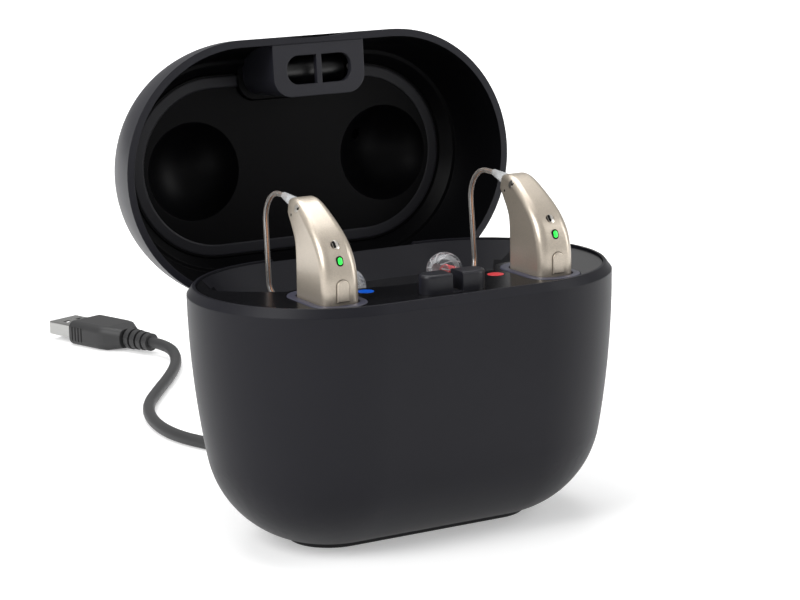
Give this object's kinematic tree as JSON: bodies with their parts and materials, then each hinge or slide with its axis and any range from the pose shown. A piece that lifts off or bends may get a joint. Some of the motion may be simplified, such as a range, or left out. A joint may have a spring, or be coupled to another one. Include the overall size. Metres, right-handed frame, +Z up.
{
  "type": "hearing aid charger",
  "caption": "Portable charging case for a pair of behind-the-ear hearing aids, with a hinged lid, docks, an earpiece trough and a USB lead.",
  "frame": {"origin": "middle of the foot pad's flat underside, on the surface the case stands on", "axes": "+Z up, +X to the right and -Y towards the user, who faces the open lid"},
  "size_m": [0.1117, 0.2825, 0.119],
  "materials": {
    "case_plastic": "soft-touch satin, near black",
    "inner_plastic": "semi-gloss black",
    "liner_plastic": "black, fine texture",
    "collar_plastic": "soft violet grey",
    "foot_rubber": "matte",
    "steel": "bare",
    "zinc_steel": "zinc plated",
    "board_green": "solder mask",
    "cable_film": "amber film",
    "magnet": "nickel plated",
    "gold": "gold plated",
    "marker_blue": "gloss",
    "marker_red": "gloss",
    "capsule_plastic": "gloss black",
    "aid_lacquer": "champagne metallic lacquer",
    "aid_light_green": "lit lens",
    "microphone_mesh": "fine mesh",
    "cell_steel": "nickel",
    "clear_plastic": "clear",
    "wire_clear": "clear sheath over copper",
    "receiver_blue": "gloss",
    "receiver_red": "gloss",
    "dome_silicone": "clear silicone",
    "lead_sheath": "dark grey, matte",
    "plug_plastic": "dark grey, fine texture",
    "plug_steel": "bright nickel",
    "insert_plastic": "white"
  },
  "bodies": {
    "root": {"base_shell": "case_plastic", "foot_pad": "foot_rubber", "base_weight": "steel", "weight_screws": "zinc_steel", "jack_board": "board_green", "jack_screws": "zinc_steel", "usb_jack": "plug_steel", "board_cable": "cable_film", "contact_board": "board_green", "board_screws": "zinc_steel", "top_deck": "inner_plastic", "lid_key": "inner_plastic", "base_magnets": "magnet", "hinge_rod": "steel", "usb_lead_tail": "lead_sheath", "usb_lead_coil": "lead_sheath", "usb_lead_free": "lead_sheath", "lead_tie": "foot_rubber", "usb_plug_boot": "plug_plastic", "usb_plug_grip": "plug_plastic", "usb_plug_shell": "plug_steel", "usb_plug_insert": "insert_plastic", "case_plug_grip": "plug_plastic", "case_plug_shell": "plug_steel", "left_dock_collar": "collar_plastic", "left_dock_cup": "inner_plastic", "left_charge_contacts": "gold", "left_marker": "marker_blue", "right_dock_collar": "collar_plastic", "right_dock_cup": "inner_plastic", "right_charge_contacts": "gold", "right_marker": "marker_red"},
    "lid": {"lid_shell": "case_plastic", "lid_liner": "liner_plastic", "latch_plate": "inner_plastic", "drying_capsule": "capsule_plastic", "lid_magnets": "magnet"},
    "left_aid": {"left_aid_shell": "aid_lacquer", "left_aid_light": "aid_light_green", "left_microphone_cover": "microphone_mesh", "left_charge_pads": "gold", "left_aid_cell": "cell_steel", "left_aid_circuit": "board_green", "left_wire_plug": "clear_plastic", "left_ear_wire": "wire_clear", "left_receiver": "receiver_blue", "left_ear_dome": "dome_silicone"},
    "left_aid_key": {"left_aid_button": "aid_lacquer"},
    "right_aid": {"right_aid_shell": "aid_lacquer", "right_aid_light": "aid_light_green", "right_microphone_cover": "microphone_mesh", "right_charge_pads": "gold", "right_aid_cell": "cell_steel", "right_aid_circuit": "board_green", "right_wire_plug": "clear_plastic", "right_ear_wire": "wire_clear", "right_receiver": "receiver_red", "right_ear_dome": "dome_silicone"},
    "right_aid_key": {"right_aid_button": "aid_lacquer"}
  },
  "joints": [
    {"name": "lid_hinge", "type": "hinge", "parent": "root", "child": "lid", "pos_m": [0, 0.0302, 0.056], "axis": [-1, 0, 0], "range_deg": [-93.6, 0]},
    {"name": "left_aid_lift", "type": "slide", "parent": "root", "child": "left_aid", "axis": [0, 0, 1], "range_m": [0, 0.03]},
    {"name": "left_button_press", "type": "slide", "parent": "left_aid", "child": "left_aid_key", "axis": [0, 1, 0], "range_m": [0, 0.0004], "stiffness_N_per_m": 500},
    {"name": "right_aid_lift", "type": "slide", "parent": "root", "child": "right_aid", "axis": [0, 0, 1], "range_m": [0, 0.03]},
    {"name": "right_button_press", "type": "slide", "parent": "right_aid", "child": "right_aid_key", "axis": [0, 1, 0], "range_m": [0, 0.0004], "stiffness_N_per_m": 500}
  ]
}
